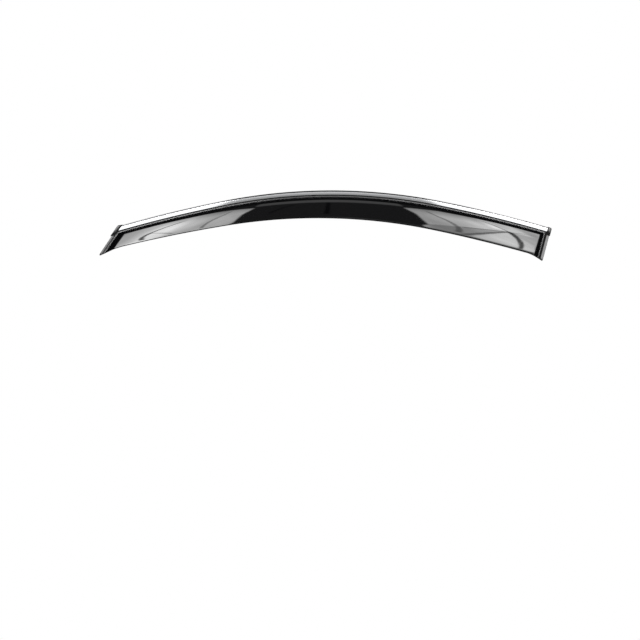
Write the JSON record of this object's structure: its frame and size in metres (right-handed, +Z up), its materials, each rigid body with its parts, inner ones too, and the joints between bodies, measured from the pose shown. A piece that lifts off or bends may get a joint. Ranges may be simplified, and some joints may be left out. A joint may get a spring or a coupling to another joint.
{
  "type": "window rain deflector",
  "caption": "Arched smoked-plastic rain deflector for a car's front side window, with a bright metal strip along the top flange, end caps and adhesive tape behind.",
  "frame": {"origin": "middle of the top tape's adhesive face, at the crest of the arch", "axes": "+X towards the rear of the car along the door frame, +Y inwards to the door frame, +Z up; the smooth face looks to -Y"},
  "size_m": [0.9983, 0.0445, 0.154],
  "materials": {
    "smoked_plastic": "polished, smoked black",
    "bright_metal": "mirror polished",
    "cap_plastic": "satin",
    "foam_tape": "fine foam with cut edges",
    "release_film": "glossy thin film"
  },
  "bodies": {
    "root": {"visor": "smoked_plastic", "bright_strip": "bright_metal", "strip_tape": "foam_tape", "front_end_cap": "cap_plastic", "rear_end_cap": "cap_plastic", "top_tape": "foam_tape", "front_end_tape": "foam_tape", "rear_end_tape": "foam_tape", "top_liner": "release_film", "front_end_liner": "release_film", "rear_end_liner": "release_film"}
  },
  "joints": []
}
